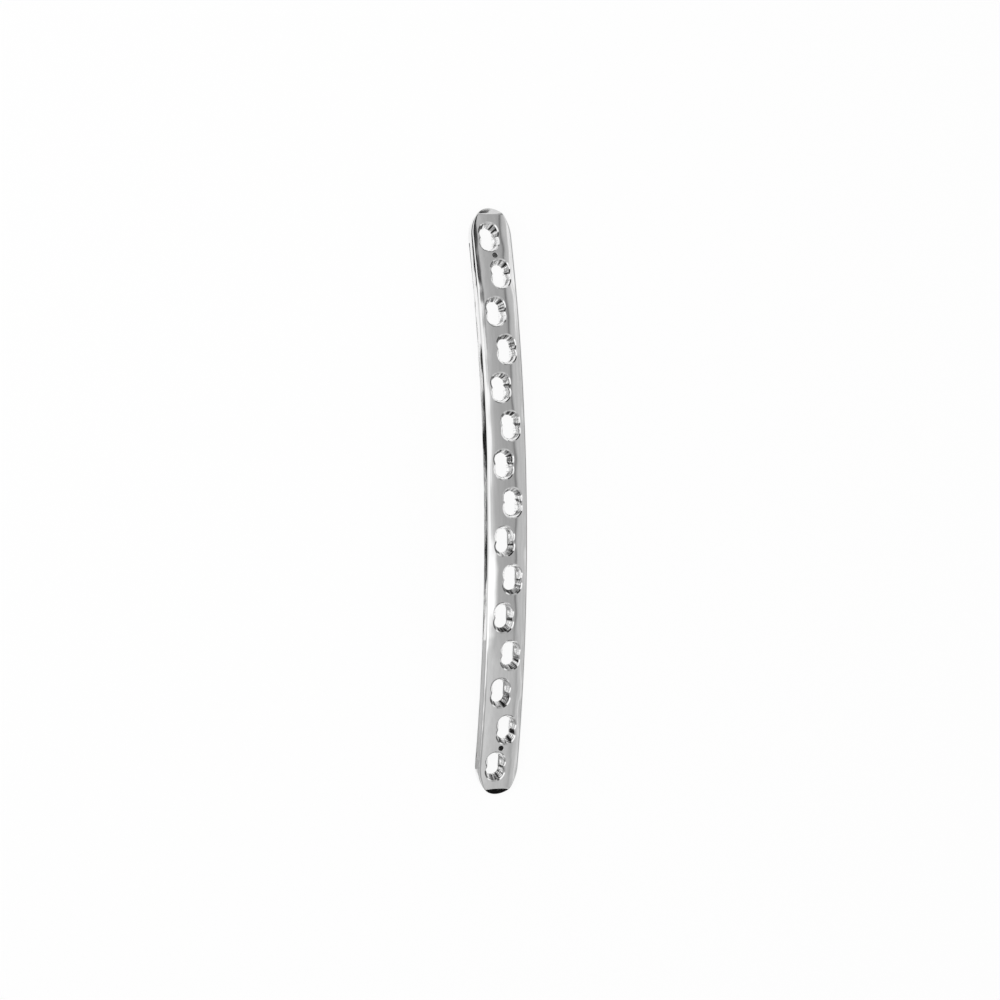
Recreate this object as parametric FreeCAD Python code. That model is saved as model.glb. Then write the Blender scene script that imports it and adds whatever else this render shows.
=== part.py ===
import FreeCAD, Part
import math
import os

# Bowed compression plate for a thigh bone, in millimetres, lying as it comes to rest:
# convex face up (+Z), long axis along Y, both tips touching z = 0.
# Its combination holes stand in two staggered rows. Each joins a conical locking
# seat to a rounded compression seat, with the locking seat nearer the plate's end.

# Plate
plate_width = 17.5
centre_thickness = 5.0
bow_radius = 400.0          # of the top face, along the length

# Faces and edges
land_width = 8.8            # level band along the middle of the top face
flank_slope = 13.0          # degrees that each flank of the top face falls outwards
crown_width = 6.4           # level band along the middle of the hollow underside
sole_slope = 13.0           # degrees that each side of the underside falls outwards
ridge_blend = 6.0           # radius that softens the ridges beside the land
shoulder_round = 0.8        # top edge, all the way round

# Ends
end_distance = 13.2         # from the last hole's middle to the tip
tip_length = 12.7           # over which the plate narrows
tip_bevel_length = 3.6
tip_bevel_drop = 2.2

# Combination holes
hole_count = 15
hole_pitch = 16.0
row_offset = 1.8            # each row stands this far off the middle line
seat_distance = 4.2         # between the middles of one hole's two seats
rim_chamfer = 0.3
lock_top_radius = 4.2
lock_throat_radius = 2.85
lock_cone_depth = 4.2
compression_radius = 4.1
slot_radius = 2.7
slot_overrun = 0.5          # how far the slot's end arc lies beyond the compression seat's middle

# Wire holes, one between the two outermost holes at each end
wire_diameter = 2.0
wire_clearance = 0.2

margin = 3.0                # how far a cutter stands clear of the metal

ORIGIN = FreeCAD.Vector(0, 0, 0)
X_AXIS = FreeCAD.Vector(1, 0, 0)
Z_AXIS = FreeCAD.Vector(0, 0, 1)

half_width = plate_width / 2
half_land = land_width / 2
half_run = (hole_count - 1) / 2 * hole_pitch
half_length = half_run + end_distance
tip_start = half_length - tip_length
bow_axis = FreeCAD.Vector(0, 0, -bow_radius)


def underside_depth(across):
    """Depth of the hollowed underside below the land, at a distance from the middle line."""
    return centre_thickness + (across - crown_width / 2) * math.tan(math.radians(sole_slope))


full_depth = underside_depth(half_width)
flank_drop = (half_width - half_land) * math.tan(math.radians(flank_slope))


def at_station(shape, along, across=0.0):
    """Carry a shape from the middle of the plate to a place along the bow, square to the face."""
    placed = shape.translated(FreeCAD.Vector(across, 0, 0))
    placed.rotate(bow_axis, X_AXIS, -math.degrees(along / bow_radius))
    return placed


def height(point):
    """Height of a point above the top land, measured square to the bow."""
    return math.hypot(point.y, point.z + bow_radius) - bow_radius


def station(point):
    """Distance of a point from the middle of the plate, along the bow."""
    return bow_radius * math.atan2(point.y, point.z + bow_radius)


def rounded_chain(corners):
    """Edges through (point, radius) corners, with a tangent arc at each corner between the ends."""
    edges = []
    reached = corners[0][0]
    for index in range(1, len(corners) - 1):
        corner, radius = corners[index]
        before = (corners[index - 1][0] - corner).normalize()
        after = (corners[index + 1][0] - corner).normalize()
        half_angle = before.getAngle(after) / 2
        start = corner + before * (radius / math.tan(half_angle))
        finish = corner + after * (radius / math.tan(half_angle))
        inward = (before + after).normalize()
        middle = corner + inward * (radius / math.sin(half_angle) - radius)
        edges.append(Part.makeLine(reached, start))
        edges.append(Part.Arc(start, middle, finish).toShape())
        reached = finish
    edges.append(Part.makeLine(reached, corners[-1][0]))
    return edges


def swept(section, reach):
    """A section face carried along the bow, the given distance to each side of the middle."""
    turn = math.degrees(reach / bow_radius)
    start = section.rotated(bow_axis, X_AXIS, turn)
    return start.revolve(bow_axis, X_AXIS, -2 * turn)


def closed_face(edges, *corners):
    """Face bounded by a chain of edges and the corners that lead back to its start."""
    start = edges[0].firstVertex().Point
    reached = edges[-1].lastVertex().Point
    for corner in corners + (start,):
        edges.append(Part.makeLine(reached, corner))
        reached = corner
    return Part.Face(Part.Wire(edges))


def bar():
    """The cross-section carried along the bow from end to end, with sharp edges."""
    chain = rounded_chain([
        (FreeCAD.Vector(-half_width, 0, -flank_drop), 0),
        (FreeCAD.Vector(-half_land, 0, 0), ridge_blend),
        (FreeCAD.Vector(half_land, 0, 0), ridge_blend),
        (FreeCAD.Vector(half_width, 0, -flank_drop), 0),
    ])
    low_right = FreeCAD.Vector(half_width, 0, -full_depth)
    low_left = FreeCAD.Vector(-half_width, 0, -full_depth)
    return swept(closed_face(chain, low_right, low_left), half_length)


def tip_trim(end):
    """Cutter that narrows one end of the bar to half an ellipse, seen from above."""
    edge = half_width + margin
    far = tip_length + margin
    corners = [(half_width, 0), (edge, 0), (edge, far), (-edge, far), (-edge, 0), (-half_width, 0)]
    points = [FreeCAD.Vector(x, y, margin) for x, y in corners]
    edges = [Part.makeLine(*pair) for pair in zip(points, points[1:])]
    middle = FreeCAD.Vector(0, 0, margin)
    tip = Part.Ellipse(middle + FreeCAD.Vector(0, tip_length, 0), points[0], middle)
    edges.append(tip.toShape(-math.pi / 2, math.pi / 2))
    cutter = Part.Face(Part.Wire(edges)).extrude(FreeCAD.Vector(0, 0, -full_depth - 2 * margin))
    if end < 0:
        cutter.rotate(ORIGIN, Z_AXIS, 180)
    return at_station(cutter, end * tip_start)


def hollow():
    """Cutter for the underside, a channel that follows the bow and runs out through both tips."""
    edge = half_width + margin
    low = -underside_depth(edge)
    floor = low - margin
    side = Part.makeLine(
        FreeCAD.Vector(-edge, 0, low), FreeCAD.Vector(-crown_width / 2, 0, -centre_thickness)
    )
    section = closed_face(
        [side],
        FreeCAD.Vector(crown_width / 2, 0, -centre_thickness),
        FreeCAD.Vector(edge, 0, low),
        FreeCAD.Vector(edge, 0, floor),
        FreeCAD.Vector(-edge, 0, floor),
    )
    return swept(section, half_length + margin)


def tip_bevel(end):
    """Cutter that slopes the top face down towards one tip."""
    slope = math.degrees(math.atan2(tip_bevel_drop, tip_bevel_length))
    side = 4 * tip_bevel_length
    cutter = Part.makeBox(
        plate_width + 2 * margin, 2 * side, side, FreeCAD.Vector(-half_width - margin, -side, 0)
    )
    cutter.rotate(ORIGIN, X_AXIS, -slope)
    cutter.translate(FreeCAD.Vector(0, -tip_bevel_length, 0))
    if end < 0:
        cutter.rotate(ORIGIN, Z_AXIS, 180)
    return at_station(cutter, end * half_length)


def sharp_edges(shape, reach):
    """The sharp edges of the top face, up to a distance from the plate's middle along the bow."""
    found = []
    for edge in shape.Edges:
        points = edge.discretize(5)
        if min(height(point) for point in points) < -flank_drop - rim_chamfer:
            continue
        if max(abs(station(point)) for point in points) > reach:
            continue
        faces = shape.ancestorsOfType(edge, Part.Face)
        normals = [face.normalAt(*face.Surface.parameter(points[2])) for face in faces]
        if normals[0].getAngle(normals[-1]) > math.radians(45):
            found.append(edge)
    return found


def round_ended_slot(radius, length, depth):
    """Slot that runs from the origin towards -Y, cut down from the face."""
    near = Part.Arc(
        FreeCAD.Vector(-radius, 0, 0), FreeCAD.Vector(0, radius, 0), FreeCAD.Vector(radius, 0, 0)
    ).toShape()
    far = Part.Arc(
        FreeCAD.Vector(radius, -length, 0),
        FreeCAD.Vector(0, -length - radius, 0),
        FreeCAD.Vector(-radius, -length, 0),
    ).toShape()
    right = Part.makeLine(FreeCAD.Vector(radius, 0, 0), FreeCAD.Vector(radius, -length, 0))
    left = Part.makeLine(FreeCAD.Vector(-radius, -length, 0), FreeCAD.Vector(-radius, 0, 0))
    face = Part.Face(Part.Wire([near, right, far, left]))
    return face.extrude(FreeCAD.Vector(0, 0, -depth))


def locking_seat():
    """Cutter for the locking lobe: a cone that narrows to a round throat."""
    through = full_depth + margin
    flare = (lock_top_radius - lock_throat_radius) / lock_cone_depth * margin
    side = Part.makeLine(
        FreeCAD.Vector(0, 0, -through), FreeCAD.Vector(lock_throat_radius, 0, -through)
    )
    half = closed_face(
        [side],
        FreeCAD.Vector(lock_throat_radius, 0, -lock_cone_depth),
        FreeCAD.Vector(lock_top_radius + flare, 0, margin),
        FreeCAD.Vector(0, 0, margin),
    )
    return half.revolve(ORIGIN, Z_AXIS, 360)


def compression_seat():
    """Cutter for the compression lobe: half a ball, with a round mouth above it."""
    bottom = FreeCAD.Vector(0, 0, -compression_radius)
    rim = FreeCAD.Vector(compression_radius, 0, 0)
    middle = (bottom + rim).normalize() * compression_radius
    half = closed_face(
        [Part.Arc(bottom, middle, rim).toShape()],
        FreeCAD.Vector(compression_radius, 0, margin),
        FreeCAD.Vector(0, 0, margin),
    )
    return half.revolve(ORIGIN, Z_AXIS, 360)


def combination_hole(end):
    """Cutter with the middle of the hole's rim at the origin and the locking seat towards one end."""
    seat = compression_seat().translated(FreeCAD.Vector(0, -seat_distance, 0))
    slot = round_ended_slot(slot_radius, seat_distance + slot_overrun, full_depth + margin)
    cutter = locking_seat().fuse([seat, slot])
    rim_middle = (lock_top_radius - seat_distance - compression_radius) / 2
    cutter.translate(FreeCAD.Vector(0, -rim_middle, 0))
    if end < 0:
        cutter.rotate(ORIGIN, Z_AXIS, 180)
    return cutter


def wire_hole():
    """Cutter for a wire hole, with its axis through the origin."""
    radius = (wire_diameter + wire_clearance) / 2
    through = full_depth + margin
    return Part.makeCylinder(radius, through + margin, FreeCAD.Vector(0, 0, -through))


blank = bar().cut([tip_trim(-1), tip_trim(1)]).cut(hollow())
blank = blank.makeFillet(shoulder_round, sharp_edges(blank, half_length + margin))
blank = blank.cut([tip_bevel(-1), tip_bevel(1)])

# Holes in the near half turn their locking seats to the near tip, the others to the far tip.
cutters = []
for index in range(hole_count):
    steps = (hole_count - 1) / 2 - index
    across = row_offset if index % 2 else -row_offset
    end = -1 if steps < 0 else 1
    cutters.append(at_station(combination_hole(end), steps * hole_pitch, across))
plate = blank.cut(cutters)
plate = plate.makeChamfer(rim_chamfer, sharp_edges(plate, half_length - tip_bevel_length - rim_chamfer))
for end in (-1, 1):
    plate = plate.cut(at_station(wire_hole(), end * (half_run - hole_pitch / 2)))

# The tips come down to z = 0.
plate.translate(FreeCAD.Vector(0, 0, -blank.optimalBoundingBox().ZMin))

os.makedirs("parts", exist_ok=True)
plate.exportStep("parts/bone_plate.step")
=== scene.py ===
import math

import bpy
import numpy as np
from mathutils import Matrix, Vector
from mathutils.geometry import delaunay_2d_cdt


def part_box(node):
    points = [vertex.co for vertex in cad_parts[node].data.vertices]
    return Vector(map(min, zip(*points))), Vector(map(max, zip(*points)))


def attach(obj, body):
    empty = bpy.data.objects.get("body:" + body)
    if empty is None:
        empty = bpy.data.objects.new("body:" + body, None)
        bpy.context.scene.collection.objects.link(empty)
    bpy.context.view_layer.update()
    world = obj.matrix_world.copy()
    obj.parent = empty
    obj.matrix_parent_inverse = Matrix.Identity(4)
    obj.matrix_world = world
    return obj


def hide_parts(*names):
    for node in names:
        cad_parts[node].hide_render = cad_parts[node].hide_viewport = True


# A bowed steel bone plate. The plate is drawn flat, in millimetres, with u across it, s along it and
# h above its top land, and is then bent to its bow. Steel fills the space where h is negative.

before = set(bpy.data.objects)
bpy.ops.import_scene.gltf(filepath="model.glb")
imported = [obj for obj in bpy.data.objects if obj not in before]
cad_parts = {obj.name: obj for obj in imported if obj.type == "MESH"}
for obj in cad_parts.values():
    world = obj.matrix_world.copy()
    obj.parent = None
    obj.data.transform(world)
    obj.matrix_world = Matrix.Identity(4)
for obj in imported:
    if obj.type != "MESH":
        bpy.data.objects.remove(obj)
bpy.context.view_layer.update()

# Plate
plate_width = 17.5
centre_thickness = 5.0
bow_radius = 400.0
land_width = 8.8
flank_slope = math.radians(13.0)
crown_width = 6.4
sole_slope = math.radians(13.0)
ridge_blend = 24.0
shoulder_round = 1.0         # measured along the faces beside it
foot_round = 0.3

# Ends
end_distance = 13.2
tip_length = 12.7
tip_bevel_length = 3.6
tip_bevel_drop = 2.2
tip_edge_round = 0.2
edge_lead = 1.6              # bevel lengths from the tip at which the top edge's round begins to shrink
crease_round = 0.3           # softens the bevel's upper edge and the underside's two creases

# Combination holes
hole_count = 15
hole_pitch = 16.0
row_offset = 1.8
seat_distance = 4.2
rim_chamfer = 0.4
rim_softness = 0.12
lock_top_radius = 4.2
lock_throat_radius = 2.85
lock_cone_depth = 4.2
compression_radius = 4.1
slot_radius = 2.7
slot_overrun = 0.5

# Thread in the locking seats, with two starts
thread_top = 0.8
thread_pitch = 1.0
thread_height = 0.2
thread_starts = 2
thread_fade = 0.25           # over which it rises at each end
thread_sharpness = 1.5
thread_shift = 0.37          # from one hole's thread to the next, as a share of the pitch

# Wire holes
wire_radius = 1.1
wire_rim_round = 0.15

# Fineness of the mesh
lock_steps = 22
side_steps = 2
seat_steps = 12
slot_end_steps = 6
rim_rows = 5
wall_step = 0.1
wire_steps = 32
tip_steps = 32
outline_step = 1.0
grid_step = 0.9
sole_grid_step = 2.2
bevel_rows = (-0.35, -0.2, 0.0, 0.2, 0.35)      # beside the bevel's upper edge
land_columns = [0.0, 0.9, 1.8, 2.8]
ridge_columns = 4
flank_columns = [5.8, 6.6, 7.4]
crown_columns = [0.0, 1.5]
crease_columns = (-0.7, 0.0, 0.7)               # beside the underside's creases
sole_columns = [5.5, 7.0]
outline_gap = 0.3            # left free inside a face's outline
hole_gap = 0.35              # left free round a hole
merge_distance = 1e-6

# Steel, with texture scales to the metre and heights in metres
wiping_scale = (900.0, 40.0, 900.0)     # fine across the plate and long along it
drift_scale = 70.0                      # change of the painted reflection patches in the holes from hole to hole
cloud_scale = 90.0                      # patches of roughness
swell_scale = 70.0                      # waviness of the polish
polish_wave = 0.0004
streak_height = 0.00002
roughness_range = (0.8, 1.25)

# Ground
floor_reach = 1500.0
floor_gap = 0.02             # below the tips
floor_tone = 0.95
floor_glow = 0.9             # share of the floor that is its own light
matt_roughness = 0.9

# Studio sky. Each list pairs the part of a direction across the plate with a brightness. Each
# layer takes over from what comes before it between two values of the part along the plate.
overhead = [
    (-1.0, 1.3), (-0.25, 1.5), (-0.13, 1.4), (-0.1, 0.8), (-0.03, 0.7), (0.05, 0.6), (0.33, 0.54),
    (0.40, 0.48), (0.44, 0.22), (0.48, 0.55), (0.55, 0.74), (0.62, 0.68), (0.66, 0.8), (0.72, 0.66),
    (0.78, 1.4), (0.84, 1.3), (0.88, 0.1),
]
upper_sky = [
    (-1.0, 1.3), (-0.2, 1.5), (-0.112, 1.3), (-0.1, 0.4), (-0.075, 0.4), (-0.06, 0.72), (0.05, 0.62),
    (0.33, 0.54), (0.41, 0.48), (0.46, 0.18), (0.50, 0.56), (0.56, 0.7), (0.64, 0.72), (0.67, 1.4),
    (0.69, 0.9), (0.72, 1.3), (0.82, 1.3), (0.88, 0.1),
]
far_sky = [
    (-1.0, 1.3), (-0.78, 1.3), (-0.7, 0.03), (-0.078, 0.03), (-0.05, 0.72), (0.02, 0.7), (0.1, 0.6),
    (0.33, 0.55), (0.43, 0.48), (0.48, 0.18), (0.52, 0.58), (0.58, 0.7), (0.64, 0.72), (0.67, 1.5),
    (0.69, 0.9), (0.72, 1.3), (0.82, 1.3), (0.88, 0.1),
]
near_sky = [
    (-1.0, 0.3), (-0.93, 0.3), (-0.9, 0.5), (-0.3, 0.55), (-0.18, 0.85), (-0.11, 0.88),
    (0.05, 0.78), (0.33, 0.71), (0.47, 0.66), (0.55, 0.54), (0.59, 0.72), (0.655, 0.76),
    (0.675, 1.15), (0.695, 0.66), (0.75, 0.7), (0.82, 1.2), (0.88, 0.1),
]
sky_layers = [
    (upper_sky, 0.24, 0.32),
    (far_sky, 0.36, 0.43),
    (near_sky, -0.26, -0.40),
]
horizon_step = (-0.02, 0.06)     # upward part between which white ground gives way to the sky

# White patch of sky that the left flank mirrors near the middle, with the parts of a direction
# across and along the plate between which it fades in
patch_side = (0.10, -0.06)
patch_start = (-0.09, -0.16)
patch_end = (-0.32, -0.24)
patch_light = 1.6

# Cards that the left wall mirrors: name, brightness, then the places along the plate, each with the
# heights above the wall's foot between which the card shows. Those above the wall show in its
# rounded shoulder.
wall_cards = [
    ("card_middle", 0.01, [
        (66, 4.0, 150), (56, 3.0, 200), (48, 2.4, 300), (40, 2.0, 400), (30, 1.6, 400), (20, 1.4, 300),
        (13, 1.5, 60), (6, 1.5, 20), (-11, 1.4, 12), (-18, 0.9, 8), (-28, 0.6, 5), (-34, 1.2, 4.2),
        (-40, 1.6, 2.8), (-50, 0.6, 1.8), (-60, 0.2, 1.4),
    ]),
    ("card_far_shoulder", 0.01, [(90, 4.3, 150), (114, 4.0, 150), (124, 4.6, 150)]),
    ("card_near_wall", 0.6, [(-58, 0.5, 150), (-90, 0.5, 150), (-124, 0.5, 150)]),
    ("card_foot", 0.01, [(y, -1.0, 0.5) for y in range(-108, 109, 6)]),
]

# Other cards: name, brightness, where its places along the plate are counted from, and its corners
ground_cards = [
    ("card_under", 0.42, "middle", [(-12, -4), (1, -4), (1, -112), (-12, -112)]),
    ("card_near", 0.01, "near tip", [(-16, -2), (-16, -90), (40, -90), (30, -2)]),
    ("card_far", 0.01, "far tip", [(-4, 17), (8, 20), (9, 34), (-4, 30)]),
]

# Photograph's view
view_turn = math.radians(19.3)
view_tilt = math.radians(1.78)
view_roll = math.radians(0.71)
view_distance = 3000.0
view_scale = 2.410               # pixels to the millimetre at the middle of the plate
plate_middle = (508.7, 502.8)    # pixel that shows the middle of the top face
picture_centre = 500.0
sensor_width = 36.0

MM = 0.001
half_width = plate_width / 2
half_land = land_width / 2
half_run = (hole_count - 1) / 2 * hole_pitch
half_length = half_run + end_distance
tip_start = half_length - tip_length
cone_slope = (lock_top_radius - lock_throat_radius) / lock_cone_depth
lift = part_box("bone_plate")[1].z / MM


def blended(a, b, width):
    """The lower of two heights, with the crease between them rounded over a width."""
    overlap = max(width - abs(a - b), 0.0) / width
    return min(a, b) - overlap * overlap * width / 4


def face_height(u, s):
    """Height of the top face, before its edges are rounded."""
    distance = abs(u)
    reach = ridge_blend * math.tan(flank_slope / 2)
    start = half_land - reach
    if distance <= start:
        height = 0.0
    elif distance <= start + ridge_blend * math.sin(flank_slope):
        inside = distance - start
        height = math.sqrt(ridge_blend ** 2 - inside ** 2) - ridge_blend
    else:
        height = -(distance - half_land) * math.tan(flank_slope)
    bevel = -(abs(s) - half_length + tip_bevel_length) * tip_bevel_drop / tip_bevel_length
    return blended(height, bevel, crease_round)


def sole_height(u, s):
    """Height of the hollow underside."""
    side = -centre_thickness - (abs(u) - crown_width / 2) * math.tan(sole_slope)
    return blended(-centre_thickness, side, crease_round)


def slope_normal(height, u, s, side):
    """Unit normal of a height field, upwards for side 1 and downwards for side -1."""
    step = 0.01
    across = (height(u + step, s) - height(u - step, s)) / (2 * step)
    along = (height(u, s + step) - height(u, s - step)) / (2 * step)
    return Vector((-across, -along, 1.0)).normalized() * side


class PlateMesh:
    """Vertices, faces and the exact normal at every corner of every face, in flat coordinates."""

    def __init__(self):
        self.points = []
        self.index = {}
        self.faces = []
        self.normals = []
        self.marks = []
        self.materials = []

    def vertex(self, point):
        key = tuple(round(value, 4) for value in point)
        if key not in self.index:
            self.index[key] = len(self.points)
            self.points.append(Vector(point))
        return self.index[key]

    def face(self, corners, material):
        """Add a face from (vertex, normal, mark) corners, turned so that it faces out of the steel."""
        kept = []
        for corner in corners:
            if all(corner[0] != other[0] for other in kept):
                kept.append(corner)
        if len(kept) < 3:
            return
        first, second, third = (self.points[corner[0]] for corner in kept[:3])
        if (second - first).cross(third - first).dot(sum((c[1] for c in kept), Vector())) < 0:
            kept.reverse()
        self.faces.append([corner[0] for corner in kept])
        self.normals.extend(corner[1] for corner in kept)
        self.marks.extend(corner[2] for corner in kept)
        self.materials.append(material)

    def strip(self, first, second, material):
        """Join two rows of (vertex, normal, mark) with quads."""
        for index in range(len(first) - 1):
            self.face([first[index], first[index + 1], second[index + 1], second[index]], material)


plate = PlateMesh()
FACE, SIDE, LOCK, SEAT, BORE = 0, 1, 2, 3, 4


class Hole:
    """One combination hole: its two middles on the flat plate and which way its locking seat lies."""

    def __init__(self, index):
        along = half_run - index * hole_pitch
        self.turn = -1 if along < 0 else 1
        self.u = row_offset if index % 2 else -row_offset
        rim_middle = (lock_top_radius - seat_distance - compression_radius) / 2
        self.s = along - self.turn * rim_middle
        self.phase = index * thread_shift

    def place(self, x, y):
        """Flat plate position of a point given from the middle of the locking seat."""
        return self.u + self.turn * x, self.s + self.turn * y


def lock_radius(h):
    """Radius of the locking seat's cone at a height, without its thread."""
    return lock_throat_radius + max(h + lock_cone_depth, 0.0) * cone_slope


def seat_radius(h):
    """Radius of the ball seat at a height."""
    return math.sqrt(max(compression_radius ** 2 - min(h, 0.0) ** 2, 0.0))


def thread_ridge(h, angle, phase):
    """How far the thread stands into the hole."""
    depth = -h
    fade = min(max((depth - thread_top) / thread_fade, 0.0), 1.0)
    fade *= min(max((lock_cone_depth - depth) / thread_fade, 0.0), 1.0)
    lead = thread_pitch * thread_starts
    turn = (depth / lead + angle / math.tau) * thread_starts + phase
    wave = 0.5 + 0.5 * math.cos(math.tau * turn)
    return thread_height * fade * wave ** thread_sharpness


def lobe_point(hole, angle, middle, radius_at, offset, level):
    """A point on one lobe's outline, where the level surface meets its wall."""
    h = level(*hole.place(0, middle))
    for _ in range(4):
        radius = radius_at(h) + offset
        x, y = radius * math.cos(angle), middle + radius * math.sin(angle)
        u, s = hole.place(x, y)
        h = level(u, s)
    return u, s, h


def lobe_limits(hole, side, offset, level):
    """Where the parts of one side of the outline begin and end, from the locking seat's middle."""
    u, s = hole.place(side * slot_radius, -seat_distance / 2)
    h = level(u, s)
    for _ in range(6):
        lock, seat = lock_radius(h) + offset, seat_radius(h) + offset
        y = -(lock ** 2 - seat ** 2 + seat_distance ** 2) / (2 * seat_distance)
        x = math.sqrt(max(lock ** 2 - y ** 2, 0.0))
        h = level(*hole.place(side * x, y))
    if x >= slot_radius and seat > 0.5 * seat_distance:
        lock_end = seat_start = (x, y)
    else:
        lock_end = (slot_radius, -math.sqrt(max(lock_radius(h) ** 2 - slot_radius ** 2, 0.0)))
        rise = math.sqrt(max(seat ** 2 - slot_radius ** 2, 0.0)) if seat > slot_radius else -slot_overrun
        seat_start = (slot_radius, -seat_distance + rise)
    if seat >= slot_radius + slot_overrun:
        seat_end = (0.0, -seat_distance - seat)
    elif seat > slot_radius:
        fall = (slot_radius ** 2 - seat ** 2 - slot_overrun ** 2) / (2 * slot_overrun)
        fall = min(fall, -slot_overrun)
        width = math.sqrt(max(slot_radius ** 2 - (fall + slot_overrun) ** 2, 0.0))
        seat_end = (width, -seat_distance + fall)
    else:
        seat_end = seat_start
    return lock_end, seat_start, seat_end


def wall_normal(part, hole, u, s, h, side):
    """Normal of the hole's wall on one of its parts, pointing into the hole."""
    x, y = (u - hole.u) * hole.turn, (s - hole.s) * hole.turn
    if part == "lock":
        angle, radius = math.atan2(y, x), max(math.hypot(x, y), 0.1)
        step = 0.005
        rise = (thread_ridge(h + step, angle, hole.phase) - thread_ridge(h - step, angle, hole.phase))
        twist = (thread_ridge(h, angle + step, hole.phase) - thread_ridge(h, angle - step, hole.phase))
        slope = (cone_slope if h > -lock_cone_depth else 0.0) - rise / (2 * step)
        swirl = -twist / (2 * step) / radius
        outward = Vector((math.cos(angle), math.sin(angle), 0))
        around = Vector((-math.sin(angle), math.cos(angle), 0))
        normal = -outward + around * swirl + Vector((0, 0, slope))
    elif part == "seat":
        normal = Vector((-x, -(y + seat_distance), -min(h, 0.0)))
    elif part == "side":
        normal = Vector((-side, 0, 0))
    else:
        normal = Vector((-x, -(y + seat_distance + slot_overrun), 0))
    normal = normal.normalized()
    return Vector((normal.x * hole.turn, normal.y * hole.turn, normal.z))


def spread(first, last, steps):
    """Values at even steps from the first to the last."""
    return [first + (last - first) * index / steps for index in range(steps + 1)]


def half_outline(hole, side, offset, level, threaded):
    """One side of a hole's outline, from the locking seat's pole to the far pole, as named parts."""
    lock_end, seat_start, seat_end = lobe_limits(hole, side, offset, level)
    parts = []

    def corner(x, y):
        u, s = hole.place(side * x, y)
        return u, s, level(u, s)

    def arc(name, middle, radius_at, start, finish, steps, ends):
        row = []
        for angle in spread(start, finish, steps):
            true_angle = angle if side > 0 else math.pi - angle

            def radius_here(h, true_angle=true_angle):
                ridge = thread_ridge(h, true_angle, hole.phase) if threaded and name == "lock" else 0.0
                return radius_at(h) - ridge

            row.append(lobe_point(hole, true_angle, middle, radius_here, offset, level))
        for place, point in ends.items():
            row[place] = corner(*point)
        parts.append((name, row))

    end_angle = math.atan2(lock_end[1], lock_end[0])
    arc("lock", 0.0, lock_radius, math.pi / 2, end_angle, lock_steps, {-1: lock_end})
    parts.append(("side", [
        corner(slot_radius if lock_end != seat_start else lock_end[0], y)
        for y in spread(lock_end[1], seat_start[1], side_steps)
    ]))
    start_angle = math.atan2(seat_start[1] + seat_distance, seat_start[0])
    finish_angle = math.atan2(seat_end[1] + seat_distance, seat_end[0])
    if seat_start == seat_end:
        parts.append(("seat", [corner(*seat_start)] * (seat_steps + 1)))
    else:
        ends = {0: seat_start, -1: seat_end}
        arc("seat", -seat_distance, seat_radius, start_angle, finish_angle, seat_steps, ends)
    if seat_end[0] == 0.0:
        parts.append(("end", [corner(*seat_end)] * (slot_end_steps + 1)))
    else:
        middle = -seat_distance - slot_overrun
        begin = math.atan2(seat_end[1] - middle, seat_end[0])
        arc("end", middle, lambda h: slot_radius, begin, -math.pi / 2, slot_end_steps, {0: seat_end})
    return parts


def chamfer_profile(width, softness):
    """Rows across a 45 degree chamfer with softened edges: offset from the wall, drop and tilt."""
    reach = width + softness * math.tan(math.pi / 8)
    rows = []
    for angle in (0.0, math.pi / 8, math.pi / 4):
        rows.append((reach - softness * math.sin(angle), softness * (1 - math.cos(angle)), angle))
    return rows + [(drop, offset, math.pi / 2 - angle) for offset, drop, angle in rows[::-1]]


def hole_rows():
    """The rows of a hole's wall, from the top face down to the underside."""
    rows = []
    for offset, drop, angle in chamfer_profile(rim_chamfer, rim_softness):
        rows.append((offset, lambda u, s, drop=drop: face_height(u, s) - drop, angle, "rim"))
    first_level = face_height(row_offset + lock_top_radius, 0) - drop - wall_step
    count = round((lock_cone_depth + first_level) / wall_step)
    for h in spread(first_level, -lock_cone_depth, count):
        rows.append((0.0, lambda u, s, h=h: h, math.pi / 2, "wall"))
    rows.append((0.0, sole_height, math.pi / 2, "foot"))
    return rows


def cut_hole(hole):
    """Add the hole's rim and walls. Returns its outlines on the top face and on the underside."""
    loops = []
    for side in (1, -1):
        previous = None
        for offset, level, angle, zone in hole_rows():
            current = []
            for part, points in half_outline(hole, side, offset, level, zone == "wall"):
                row = []
                for u, s, h in points:
                    wall = wall_normal(part, hole, u, s, h, side)
                    top = slope_normal(face_height, u, s, 1)
                    normal = (wall * math.sin(angle) + top * math.cos(angle)).normalized()
                    x, y = (u - hole.u) * hole.turn, (s - hole.s) * hole.turn
                    middle = 0.0 if part == "lock" else -seat_distance
                    row.append((plate.vertex((u, s, h)), normal, (x, y - middle)))
                current.append((part, row))
            if previous is None:
                first = current
            else:
                for (part, upper), (_, lower) in zip(previous, current):
                    material = LOCK if part == "lock" else SEAT
                    plate.strip(upper, lower, FACE if zone == "rim" else material)
            previous = current
        loops.append(([c[0] for _, row in first for c in row], [c[0] for _, row in previous for c in row]))
    right, left = loops
    return joined(right[0], left[0]), joined(right[1], left[1])


def joined(right, left):
    """One closed loop of distinct vertices from the two sides of an outline."""
    loop = []
    for vertex in right + left[::-1]:
        if not loop or loop[-1] != vertex:
            loop.append(vertex)
    while loop[0] == loop[-1]:
        loop.pop()
    return loop


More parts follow.
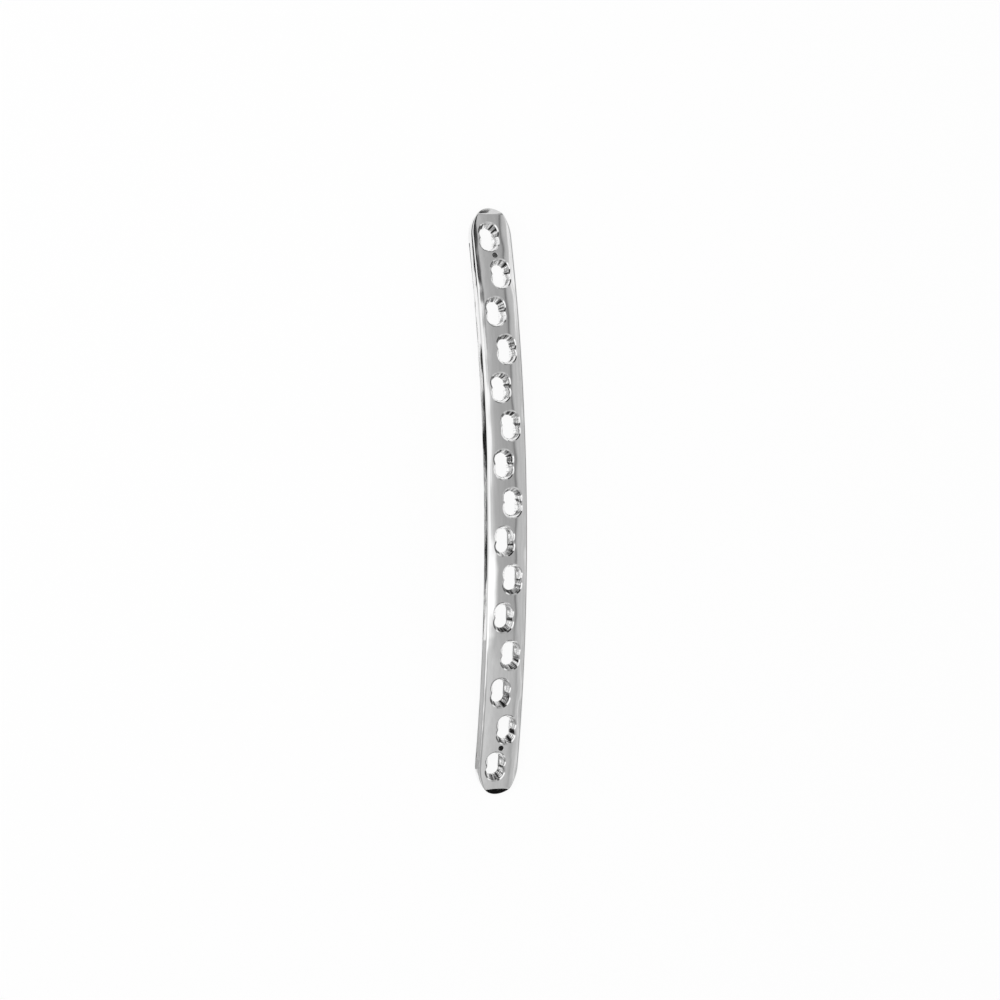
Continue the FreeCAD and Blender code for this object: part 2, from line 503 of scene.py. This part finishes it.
def cut_wire_hole(s):
    """Add a wire hole's rounded rim and its wall. Returns its two outlines."""
    rows = []
    for index in range(rim_rows + 1):
        angle = index / rim_rows * math.pi / 2
        offset = wire_rim_round * (1 - math.sin(angle))
        drop = wire_rim_round * (1 - math.cos(angle))
        rows.append((wire_radius + offset, face_height(0, s) - drop, angle))
    rows.append((wire_radius, sole_height(0, s), math.pi / 2))
    loops = []
    for radius, h, tilt in rows:
        row = []
        for index in range(wire_steps + 1):
            turn = -math.tau * index / wire_steps
            across, along = math.cos(turn), math.sin(turn)
            normal = Vector((-across * math.sin(tilt), -along * math.sin(tilt), math.cos(tilt)))
            point = (radius * across, s + radius * along, h)
            row.append((plate.vertex(point), normal, (across, along)))
        if loops:
            plate.strip(row, loops[-1], BORE if tilt == math.pi / 2 else FACE)
        loops.append(row)
    return [c[0] for c in loops[0][:-1]], [c[0] for c in loops[-1][:-1]]


def outline_stations():
    """Points of the plate's outline, each with the direction outwards from it."""
    stations = []
    run = round(2 * tip_start / outline_step)
    for end in (1, -1):
        for s in spread(-end * tip_start, end * tip_start, run)[:-1]:
            stations.append((Vector((end * half_width, s)), Vector((end, 0))))
        for index in range(tip_steps):
            turn = math.pi * index / tip_steps
            across, along = end * math.cos(turn), end * math.sin(turn)
            place = Vector((half_width * across, end * tip_start + tip_length * along))
            stations.append((place, Vector((across / half_width, along / tip_length)).normalized()))
    return stations


def edge_round(s):
    """Radius of the top edge: it is small where the tip's bevel runs out."""
    share = min(max((abs(s) - half_length + edge_lead * tip_bevel_length) / tip_bevel_length, 0.0), 1.0)
    return shoulder_round + (tip_edge_round - shoulder_round) * share


def outer_wall():
    """Add the rounded top edge, the side and the rounded foot. Returns the two inner outlines."""
    stations = outline_stations()
    stations.append(stations[0])
    rows = []
    for index in range(rim_rows + 1):
        angle = index / rim_rows * math.pi / 2
        row = []
        for place, way in stations:
            radius = edge_round(place.y)
            u, s = place - way * radius * (1 - math.sin(angle))
            h = face_height(u, s) - radius * (1 - math.cos(angle))
            top = slope_normal(face_height, u, s, 1)
            normal = Vector((way.x, way.y, 0)) * math.sin(angle) + top * math.cos(angle)
            row.append((plate.vertex((u, s, h)), normal.normalized(), (s, h)))
        rows.append(row)
    for index in range(rim_rows + 1):
        angle = (1 - index / rim_rows) * math.pi / 2
        row = []
        for place, way in stations:
            u, s = place - way * foot_round * (1 - math.sin(angle))
            h = sole_height(u, s) + foot_round * (1 - math.cos(angle))
            under = slope_normal(sole_height, u, s, -1)
            normal = Vector((way.x, way.y, 0)) * math.sin(angle) + under * math.cos(angle)
            row.append((plate.vertex((u, s, h)), normal.normalized(), (s, h)))
        rows.append(row)
    for index, (upper, lower) in enumerate(zip(rows, rows[1:])):
        plate.strip(lower, upper, SIDE if index >= rim_rows else FACE)
    return [c[0] for c in rows[0][:-1]], [c[0] for c in rows[-1][:-1]]


def fill(outline, loops, columns, step, height, side):
    """Fill a face between its outline and its holes with triangles that follow its columns."""
    crease = half_length - tip_bevel_length
    rows = spread(-half_length, half_length, round(2 * half_length / step))
    rows += [end * (crease + shift) for end in (1, -1) for shift in bevel_rows]
    kept = [
        (sign * column, s) for s in rows for column in columns for sign in (1, -1)
        if inside(outline, (column, s), 0) and not near(outline, (sign * column, s), outline_gap)
        and not any(inside(loop, (sign * column, s), hole_gap) for loop in loops)
    ]
    kept = list(dict.fromkeys(kept))
    flat, edges = [], []
    for loop in [outline] + loops:
        first = len(flat)
        flat += [Vector(plate.points[v][:2]) for v in loop]
        edges += [(first + i, first + (i + 1) % len(loop)) for i in range(len(loop))]
    fixed = [v for loop in [outline] + loops for v in loop]
    flat += [Vector(point) for point in kept]
    made, _, triangles, origins, _, _ = delaunay_2d_cdt(flat, edges, [], 1, merge_distance)
    vertices = []
    for place, origin in zip(made, origins):
        known = [i for i in origin if i < len(fixed)]
        if known:
            vertices.append(fixed[known[0]])
        else:
            vertices.append(plate.vertex((place.x, place.y, height(place.x, place.y))))
    for triangle in triangles:
        middle = sum((made[i] for i in triangle), Vector((0, 0))) / 3
        if any(inside(loop, (middle.x, middle.y), 0.0) for loop in loops):
            continue
        corners = []
        for i in triangle:
            point = plate.points[vertices[i]]
            normal = slope_normal(height, point.x, point.y, side)
            corners.append((vertices[i], normal, (point.x, point.y)))
        plate.face(corners, FACE)


def bent(point):
    """Place of a flat point on the bowed plate, in metres."""
    turn = point.y / bow_radius
    reach = bow_radius + point.z
    x, y, z = point.x, reach * math.sin(turn), reach * math.cos(turn) - bow_radius + lift
    return Vector((x, y, z)) * MM


def bent_normal(normal, s):
    """A flat normal turned with the bow."""
    turn = s / bow_radius
    along = normal.y * math.cos(turn) + normal.z * math.sin(turn)
    up = normal.z * math.cos(turn) - normal.y * math.sin(turn)
    return Vector((normal.x, along, up)).normalized()


def build_plate():
    """The whole plate as one mesh object."""
    top_outline, sole_outline = outer_wall()
    cuts = [cut_hole(Hole(index)) for index in range(hole_count)]
    cuts += [cut_wire_hole(end * (half_run - hole_pitch / 2)) for end in (1, -1)]
    reach = ridge_blend * math.tan(flank_slope / 2)
    ridge_end = half_land - reach + ridge_blend * math.sin(flank_slope)
    columns = land_columns + spread(half_land - reach, ridge_end, ridge_columns) + flank_columns
    fill(top_outline, [top for top, _ in cuts], columns, grid_step, face_height, 1)
    creases = [crown_width / 2 + shift for shift in crease_columns]
    columns = crown_columns + creases + sole_columns
    fill(sole_outline, [sole for _, sole in cuts], columns, sole_grid_step, sole_height, -1)
    mesh = bpy.data.meshes.new("bone_plate_steel")
    mesh.from_pydata([bent(point) for point in plate.points], [], plate.faces)
    mesh.polygons.foreach_set("use_smooth", [True] * len(mesh.polygons))
    mesh.polygons.foreach_set("material_index", plate.materials)
    corners = [v for face in plate.faces for v in face]
    turned = [bent_normal(n, plate.points[v].y) for n, v in zip(plate.normals, corners)]
    mesh.normals_split_custom_set(turned)
    layer = mesh.uv_layers.new(name="marks")
    layer.data.foreach_set("uv", [value for mark in plate.marks for value in mark])
    mesh.update()
    piece = bpy.data.objects.new("bone_plate_steel", mesh)
    bpy.context.scene.collection.objects.link(piece)
    return piece


def near(loop, point, gap):
    """Whether a flat point is nearer than a gap to a corner of a loop of vertices."""
    px, py, _, _ = loop_arrays(loop)
    return float(np.hypot(px - point[0], py - point[1]).min()) < gap


def inside(loop, point, gap):
    """Whether a flat point is within a loop of vertices, or nearer to it than a gap."""
    x, y = point
    px, py, qx, qy = loop_arrays(loop)
    if x < px.min() - gap or x > px.max() + gap or y < py.min() - gap or y > py.max() + gap:
        return False
    crossing = (py > y) != (qy > y)
    rise = np.where(qy == py, 1.0, qy - py)
    reach = (qx - px) * (y - py) / rise + px
    if np.count_nonzero(crossing & (x < reach)) % 2:
        return True
    return gap > 0 and near(loop, point, gap)


known_loops = {}


def loop_arrays(loop):
    """The starts and finishes of a loop's edges, as columns kept for later calls."""
    key = id(loop)
    if key not in known_loops:
        start = np.array([plate.points[v][:2] for v in loop])
        finish = np.roll(start, -1, axis=0)
        known_loops[key] = (start[:, 0], start[:, 1], finish[:, 0], finish[:, 1])
    return known_loops[key]


def feed(tree, socket, value):
    """Set a node's input, or link it where the value is another node's output."""
    if isinstance(value, bpy.types.NodeSocket):
        tree.links.new(value, socket)
    else:
        socket.default_value = value


def add_node(tree, kind, **inputs):
    """A shader node with its inputs set or linked."""
    node = tree.nodes.new(kind)
    for name, value in inputs.items():
        feed(tree, node.inputs[name.replace("_", " ")], value)
    return node


def combined(tree, kind, operation, *values):
    """A node that works out something from its inputs in turn."""
    node = tree.nodes.new(kind)
    node.operation = operation
    for socket, value in zip(node.inputs, values):
        feed(tree, socket, value)
    return node


def map_value(tree, value, low, high, first, last):
    """A value carried from one range to another."""
    node = add_node(tree, "ShaderNodeMapRange", Value=value)
    for name, number in (("From Min", low), ("From Max", high), ("To Min", first), ("To Max", last)):
        node.inputs[name].default_value = number
    return node.outputs["Result"]


def steel(name, scale, depth, roughness, tones, share=(0.38, 0.62), painted_depth_shade=None, wave=0.0):
    """Polished implant steel. Streaks run along the plate, or round a hole as painted reflection where
    depth shade is painted.
    """
    material = bpy.data.materials.new(name)
    material.use_nodes = True
    tree = material.node_tree
    surface = tree.nodes["Principled BSDF"]
    surface.inputs["Metallic"].default_value = 1.0
    place = tree.nodes.new("ShaderNodeTexCoord")
    spot, mark = place.outputs["Object"], place.outputs["UV"]
    if painted_depth_shade:
        way = combined(tree, "ShaderNodeVectorMath", "NORMALIZE", mark).outputs["Vector"]
        mapped = add_node(tree, "ShaderNodeMapping", Vector=way, Scale=scale).outputs["Vector"]
        drift = add_node(tree, "ShaderNodeMapping", Vector=spot, Scale=(drift_scale,) * 3).outputs["Vector"]
        mapped = combined(tree, "ShaderNodeVectorMath", "ADD", mapped, drift).outputs["Vector"]
    else:
        mapped = add_node(tree, "ShaderNodeMapping", Vector=spot, Scale=scale).outputs["Vector"]
    # On the face and side this pattern is faint wiping streaks; in the holes it is painted reflection, dark
    # and bright patches in the base colour.
    streaks_and_painted_reflections = add_node(tree, "ShaderNodeTexNoise", Vector=mapped, Scale=1.0, Detail=3.0).outputs["Fac"]
    tone = map_value(tree, streaks_and_painted_reflections, *share, *tones)
    # Painted shade: a hole's wall is made darker or lighter with depth, from its throat to its mouth, by
    # the given factors.
    if painted_depth_shade:
        reach = combined(tree, "ShaderNodeVectorMath", "LENGTH", mark).outputs["Value"]
        shade = map_value(tree, reach, lock_throat_radius, lock_top_radius, *painted_depth_shade)
        product = combined(tree, "ShaderNodeMath", "MULTIPLY", tone, shade)
        product.use_clamp = True
        tone = product.outputs["Value"]
    colour = add_node(tree, "ShaderNodeCombineColor", Red=tone, Green=tone, Blue=tone)
    feed(tree, surface.inputs["Base Color"], colour.outputs["Color"])
    cloud = add_node(tree, "ShaderNodeTexNoise", Vector=spot, Scale=cloud_scale, Detail=2.0)
    limits = [roughness * factor for factor in roughness_range]
    feed(tree, surface.inputs["Roughness"], map_value(tree, cloud.outputs["Fac"], 0.0, 1.0, *limits))
    swell = add_node(tree, "ShaderNodeTexNoise", Vector=spot, Scale=swell_scale, Detail=1.0)
    waves = add_node(tree, "ShaderNodeBump", Height=swell.outputs["Fac"], Distance=wave)
    bump = add_node(tree, "ShaderNodeBump", Height=streaks_and_painted_reflections, Strength=depth, Distance=streak_height)
    feed(tree, bump.inputs["Normal"], waves.outputs["Normal"])
    feed(tree, surface.inputs["Normal"], bump.outputs["Normal"])
    return material


def plate_steels():
    """The plate's materials, in the order of its slots."""
    return [
        steel("steel_face", wiping_scale, 0.3, 0.09, tones=(0.65, 0.685), wave=polish_wave),
        steel("steel_side", wiping_scale, 0.3, 0.09, tones=(0.86, 0.94), wave=polish_wave),
        # Painted reflection and painted shade: the thread's near-black to white patches stand in for what
        # its wall mirrors, darker towards the mouth.
        steel(
            "steel_thread_painted_reflections", (3.0, 3.0, 1.0), 0.6, 0.16, tones=(0.03, 1.0), share=(0.41, 0.58),
            painted_depth_shade=(1.35, 0.5),
        ),
        # Painted reflection: the seat's pale radial patches stand in for the bright surroundings that its
        # wall mirrors.
        steel(
            "steel_seat_painted_reflections", (11.0, 11.0, 1.0), 0.6, 0.25, tones=(0.55, 1.0), share=(0.34, 0.48),
            painted_depth_shade=(1.0, 1.0),
        ),
        # Painted shade: the wire holes' wall is near black, standing in for the shade deep inside a narrow
        # bore.
        steel("steel_bore_painted_shade", (3.0, 3.0, 1.0), 0.3, 0.4, tones=(0.02, 0.07), painted_depth_shade=(1.0, 1.0)),
    ]


def floor_material():
    """White ground: most of it is its own light for rays that show it, the rest takes the shadow."""
    material = bpy.data.materials.new("floor_white")
    material.use_nodes = True
    tree = material.node_tree
    surface = tree.nodes["Principled BSDF"]
    surface.inputs["Base Color"].default_value = (floor_tone, floor_tone, floor_tone, 1)
    surface.inputs["Roughness"].default_value = matt_roughness
    rays = tree.nodes.new("ShaderNodeLightPath").outputs
    shown = rays["Is Camera Ray"]
    for kind in ("Is Glossy Ray", "Is Transmission Ray"):
        shown = combined(tree, "ShaderNodeMath", "MAXIMUM", shown, rays[kind]).outputs["Value"]
    share = combined(tree, "ShaderNodeMath", "MULTIPLY", shown, floor_glow).outputs["Value"]
    glow = add_node(tree, "ShaderNodeEmission", Color=(1, 1, 1, 1), Strength=1.0)
    mix = add_node(tree, "ShaderNodeMixShader", Fac=share)
    feed(tree, mix.inputs[1], surface.outputs["BSDF"])
    feed(tree, mix.inputs[2], glow.outputs["Emission"])
    feed(tree, tree.nodes["Material Output"].inputs["Surface"], mix.outputs["Shader"])
    return material


def build_floor():
    """The white ground that the plate lies on."""
    mesh = bpy.data.meshes.new("floor")
    size = floor_reach * MM
    corners = [(-size, -size, 0), (size, -size, 0), (size, size, 0), (-size, size, 0)]
    mesh.from_pydata(corners, [], [(0, 1, 2, 3)])
    floor = bpy.data.objects.new("floor", mesh)
    bpy.context.scene.collection.objects.link(floor)
    floor.location.z = -floor_gap * MM
    mesh.materials.append(floor_material())


def soft_box(name, direction, width, length, power, distance=0.9):
    """A rectangular lamp that faces the plate from a direction given as tilts from straight up."""
    across, along = (math.radians(value) for value in direction)
    way = Vector((math.tan(across), math.tan(along), 1.0)).normalized()
    data = bpy.data.lights.new(name, "AREA")
    data.shape = "RECTANGLE"
    data.size, data.size_y = width, length
    data.energy = power
    lamp = bpy.data.objects.new(name, data)
    lamp.location = way * distance
    lamp.rotation_mode = "QUATERNION"
    lamp.rotation_quaternion = way.to_track_quat("Z", "Y")
    lamp.visible_glossy = False
    bpy.context.scene.collection.objects.link(lamp)


def tone_ramp(tree, value, tones):
    """A grey from a direction's component, given as (component, brightness) pairs."""
    ramp = add_node(tree, "ShaderNodeValToRGB", Fac=map_value(tree, value, -1.0, 1.0, 0.0, 1.0))
    elements = ramp.color_ramp.elements
    while len(elements) < len(tones):
        elements.new(0.5)
    for element, (component, tone) in zip(elements, tones):
        element.position = (component + 1) / 2
        element.color = (tone, tone, tone, 1)
    return ramp.outputs["Color"]


def blend_colours(tree, factor, first, second):
    """One colour that gives way to another as a factor goes from 0 to 1."""
    mix = tree.nodes.new("ShaderNodeMix")
    mix.data_type = "RGBA"
    for name, value in (("Factor", factor), ("A", first), ("B", second)):
        feed(tree, mix.inputs[name], value)
    return mix.outputs["Result"]


def ease(tree, value, low, high):
    """0 below one value and 1 above another, with a smooth step between."""
    step = add_node(tree, "ShaderNodeMapRange", Value=value)
    step.interpolation_type = "SMOOTHSTEP"
    step.inputs["From Min"].default_value = low
    step.inputs["From Max"].default_value = high
    return step.outputs["Result"]


def build_world():
    """A studio sky in greys, which the polished steel shows as lines along the plate."""
    world = bpy.data.worlds.new("studio")
    bpy.context.scene.world = world
    world.use_nodes = True
    tree = world.node_tree
    place = tree.nodes.new("ShaderNodeTexCoord")
    parts = add_node(tree, "ShaderNodeSeparateXYZ", Vector=place.outputs["Generated"])
    sky = tone_ramp(tree, parts.outputs["X"], overhead)
    for tones, start, finish in sky_layers:
        layer = tone_ramp(tree, parts.outputs["X"], tones)
        sky = blend_colours(tree, ease(tree, parts.outputs["Y"], start, finish), sky, layer)
    patch = ease(tree, parts.outputs["X"], *patch_side)
    for limits in (patch_start, patch_end):
        fade = ease(tree, parts.outputs["Y"], *limits)
        patch = combined(tree, "ShaderNodeMath", "MULTIPLY", patch, fade).outputs["Value"]
    sky = blend_colours(tree, patch, sky, (patch_light, patch_light, patch_light, 1))
    room = blend_colours(tree, ease(tree, parts.outputs["Z"], *horizon_step), (1, 1, 1, 1), sky)
    feed(tree, tree.nodes["Background"].inputs["Color"], room)


def reflector_card(name, corners, tone):
    """A card on the ground that shows only in the steel's reflections."""
    mesh = bpy.data.meshes.new(name)
    mesh.from_pydata([(x * MM, y * MM, 0.0) for x, y in corners], [], [tuple(range(len(corners)))])
    card = bpy.data.objects.new(name, mesh)
    bpy.context.scene.collection.objects.link(card)
    material = bpy.data.materials.new(name)
    material.use_nodes = True
    surface = material.node_tree.nodes["Principled BSDF"]
    surface.inputs["Base Color"].default_value = (tone, tone, tone, 1)
    surface.inputs["Roughness"].default_value = matt_roughness
    surface.inputs["Specular IOR Level"].default_value = 0.0
    mesh.materials.append(material)
    card.visible_camera = False
    card.visible_diffuse = False
    card.visible_shadow = False
    card.visible_transmission = False


def wall_mirror(y, height):
    """Where the photo's view, mirrored in the left wall at a height above its foot, meets the ground."""
    foot = lift + sole_height(half_width, 0) - y * y / (2 * bow_radius)
    return -half_width - math.tan(view_turn) * (foot + height)


def build_cards():
    """Dark and grey cards beside the plate, under it and beyond its tips."""
    for name, tone, outline in wall_cards:
        corners = [(wall_mirror(y, low), y) for y, low, high in outline]
        corners += [(wall_mirror(y, high), y) for y, low, high in outline[::-1]]
        reflector_card(name, corners, tone)
    tip = bow_radius * math.sin(half_length / bow_radius)
    starts = {"middle": 0, "near tip": -tip, "far tip": tip}
    for name, tone, start, corners in ground_cards:
        reflector_card(name, [(x, starts[start] + y) for x, y in corners], tone)


def build_camera():
    """The photograph's view: a little from the left of square, from far away."""
    lean = math.sin(view_tilt)
    right = Vector((math.cos(view_turn), 0, math.sin(view_turn)))
    up = Vector((lean * math.sin(view_turn), math.cos(view_tilt), -lean * math.cos(view_turn)))
    back = right.cross(up)
    level = right * math.cos(view_roll) - up * math.sin(view_roll)
    upright = right * math.sin(view_roll) + up * math.cos(view_roll)
    shift = level * (picture_centre - plate_middle[0]) / view_scale
    shift += upright * (plate_middle[1] - picture_centre) / view_scale
    place = Vector((0, 0, lift)) + back * view_distance + shift
    data = bpy.data.cameras.new("camera")
    data.sensor_width = sensor_width
    data.lens = view_scale * view_distance / (2 * picture_centre) * sensor_width
    data.clip_end = 100.0
    camera = bpy.data.objects.new("camera", data)
    basis = Matrix((level, upright, back)).transposed().to_4x4()
    basis.translation = place * MM
    camera.matrix_world = basis
    bpy.context.scene.collection.objects.link(camera)
    bpy.context.scene.camera = camera


piece = build_plate()
for material in plate_steels():
    piece.data.materials.append(material)
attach(piece, "root")
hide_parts("bone_plate")
build_floor()
build_cards()
build_world()
build_camera()
soft_box("key", direction=(-20.0, 10.0), width=0.5, length=0.5, power=2.0)
bpy.context.scene.view_settings.view_transform = "Standard"
